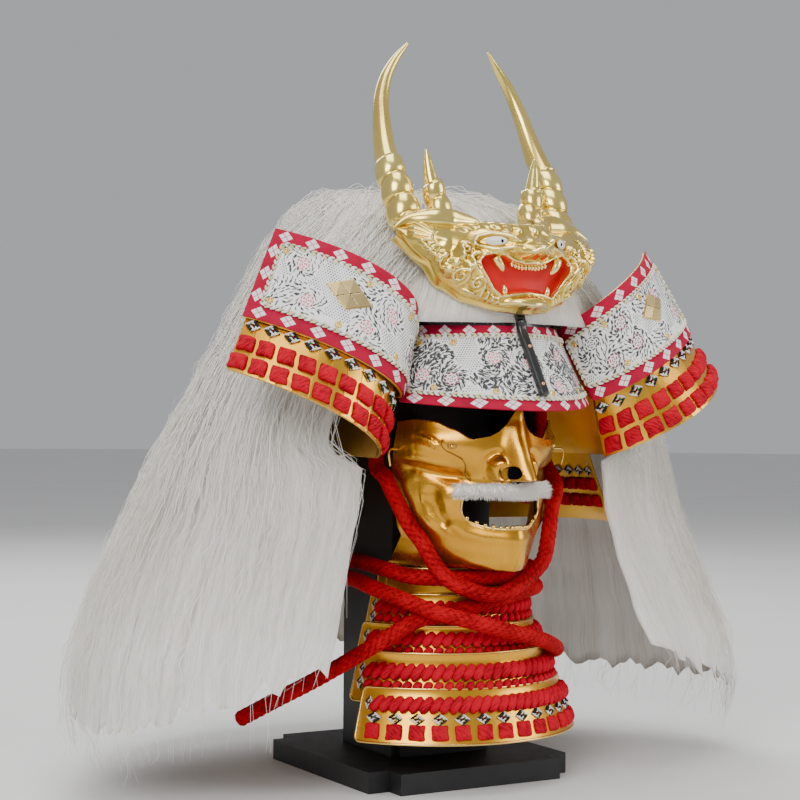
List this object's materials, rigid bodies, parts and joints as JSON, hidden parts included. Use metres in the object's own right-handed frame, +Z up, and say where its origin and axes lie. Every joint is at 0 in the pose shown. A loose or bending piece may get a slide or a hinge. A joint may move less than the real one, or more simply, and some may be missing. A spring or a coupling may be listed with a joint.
{
  "type": "samurai helmet and mask on a stand",
  "caption": "Samurai helmet with winged neck guard, horned crest, white hair, gold face mask and laced throat guard, tied with a red cord on a plain black stand.",
  "frame": {"origin": "on the underside of the stand's base, straight below the middle of the helmet bowl's width", "axes": "+Z up, the mask looks along -Y, +X is the wearer's left"},
  "size_m": [0.646, 0.4496, 0.6416],
  "materials": {
    "gold_lacquer": "satin gold lacquer",
    "polished_gold": "polished",
    "black_lacquer": "satin black",
    "crimson_cloth": "woven brocade with white lozenges",
    "printed_leather": "white printed with black leaves, dots and pink rosettes",
    "red_silk": "braided silk",
    "white_hair": "long off-white hair",
    "red_enamel": "gloss red"
  },
  "bodies": {
    "root": {"chin_cord": "red_silk", "crest_face": "polished_gold", "crest_horn_large_left": "polished_gold", "crest_horn_large_right": "polished_gold", "crest_horn_small_left": "polished_gold", "crest_horn_small_right": "polished_gold", "crest_mouth": "red_enamel", "crest_stem": "black_lacquer", "hair_crown": "white_hair", "hair_mantle": "white_hair", "helmet_bowl": "black_lacquer", "mask_hook_left": "polished_gold", "mask_hook_right": "polished_gold", "mask_mustache": "white_hair", "mask_nose": "gold_lacquer", "mask_shell": "gold_lacquer", "neck_cord": "red_silk", "neck_lame_1": "gold_lacquer", "neck_lame_2": "gold_lacquer", "neck_lame_3": "gold_lacquer", "stand_base": "black_lacquer", "stand_head_pad": "black_lacquer", "stand_mask_arm": "black_lacquer", "stand_post": "black_lacquer", "throat_lacing": "red_silk", "throat_lame_1": "gold_lacquer", "throat_lame_2": "gold_lacquer", "throat_lame_3": "gold_lacquer", "throat_lame_4": "gold_lacquer", "throat_lame_5": "gold_lacquer", "visor_leather": "printed_leather", "visor_plate": "crimson_cloth", "wing_border_left": "crimson_cloth", "wing_border_right": "crimson_cloth", "wing_lacing_lower_left": "red_silk", "wing_lacing_lower_right": "red_silk", "wing_lacing_upper_left": "red_silk", "wing_lacing_upper_right": "red_silk", "wing_leather_left": "printed_leather", "wing_leather_right": "printed_leather", "wing_mon_left": "polished_gold", "wing_mon_right": "polished_gold"}
  },
  "joints": []
}
